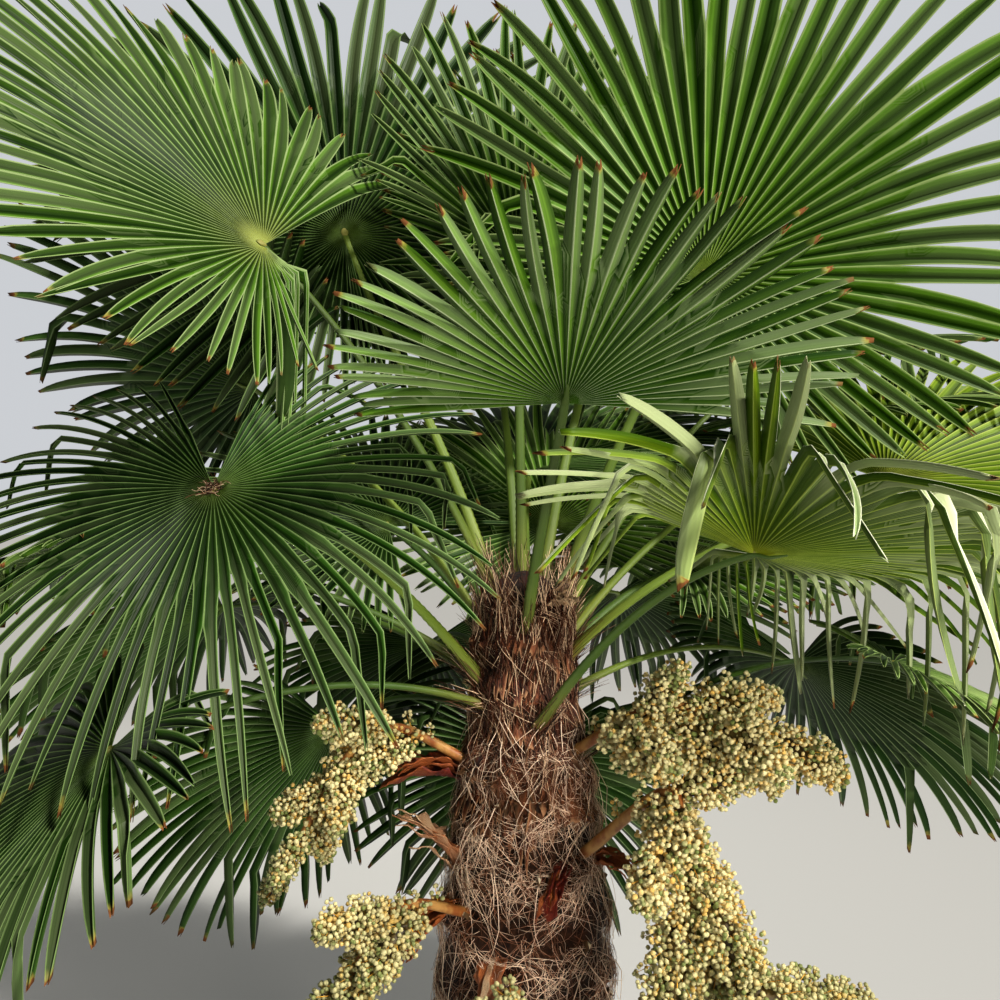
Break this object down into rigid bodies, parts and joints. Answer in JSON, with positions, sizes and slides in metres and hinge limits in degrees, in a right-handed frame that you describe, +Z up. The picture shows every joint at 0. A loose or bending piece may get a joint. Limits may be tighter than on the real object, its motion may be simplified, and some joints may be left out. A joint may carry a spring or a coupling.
{
  "type": "windmill palm",
  "caption": "Windmill palm rooted in the ground: fibre-clad trunk, crown of fan fronds on long petioles, drooping fruit bunches and dry bracts.",
  "frame": {"origin": "middle of the flat cut under the trunk, at ground level", "axes": "+Z up along the trunk, -Y towards the side that the picture shows, +X to the right in the picture"},
  "size_m": [2.3136, 1.9671, 2.6359],
  "materials": {
    "fibre": "matted hair-like fibre over old leaf bases, matt",
    "frond": "waxy pleated leaf, satin",
    "fruit": "small round unripe fruit, satin",
    "bract": "dry papery sheath, matt"
  },
  "bodies": {
    "root": {"trunk": "fibre", "frond_back_middle": "frond", "frond_back_top": "frond", "frond_drooping_1": "frond", "frond_drooping_2": "frond", "frond_front_high": "frond", "frond_inner_back": "frond", "frond_inner_left": "frond", "frond_inner_right": "frond", "frond_left_back_high": "frond", "frond_left_back_middle": "frond", "frond_left_front_low": "frond", "frond_left_high": "frond", "frond_low_1": "frond", "frond_low_2": "frond", "frond_low_3": "frond", "frond_low_4": "frond", "frond_low_5": "frond", "frond_middle_1": "frond", "frond_middle_2": "frond", "frond_middle_3": "frond", "frond_right_back_middle": "frond", "frond_right_front_middle": "frond", "frond_right_high": "frond", "frond_right_low": "frond", "frond_right_middle": "frond", "frond_top": "frond", "frond_upper_1": "frond", "frond_upper_2": "frond", "bunch_back": "fruit", "bunch_front_low": "fruit", "bunch_left_lower": "fruit", "bunch_left_upper": "fruit", "bunch_right_lower": "fruit", "bunch_right_upper": "fruit", "bract_crown_right": "bract", "bract_front_low": "bract", "bract_front_middle": "bract", "bract_left_low": "bract", "bract_left_middle": "bract", "bract_left_upper": "bract", "bract_right_middle": "bract"}
  },
  "joints": []
}
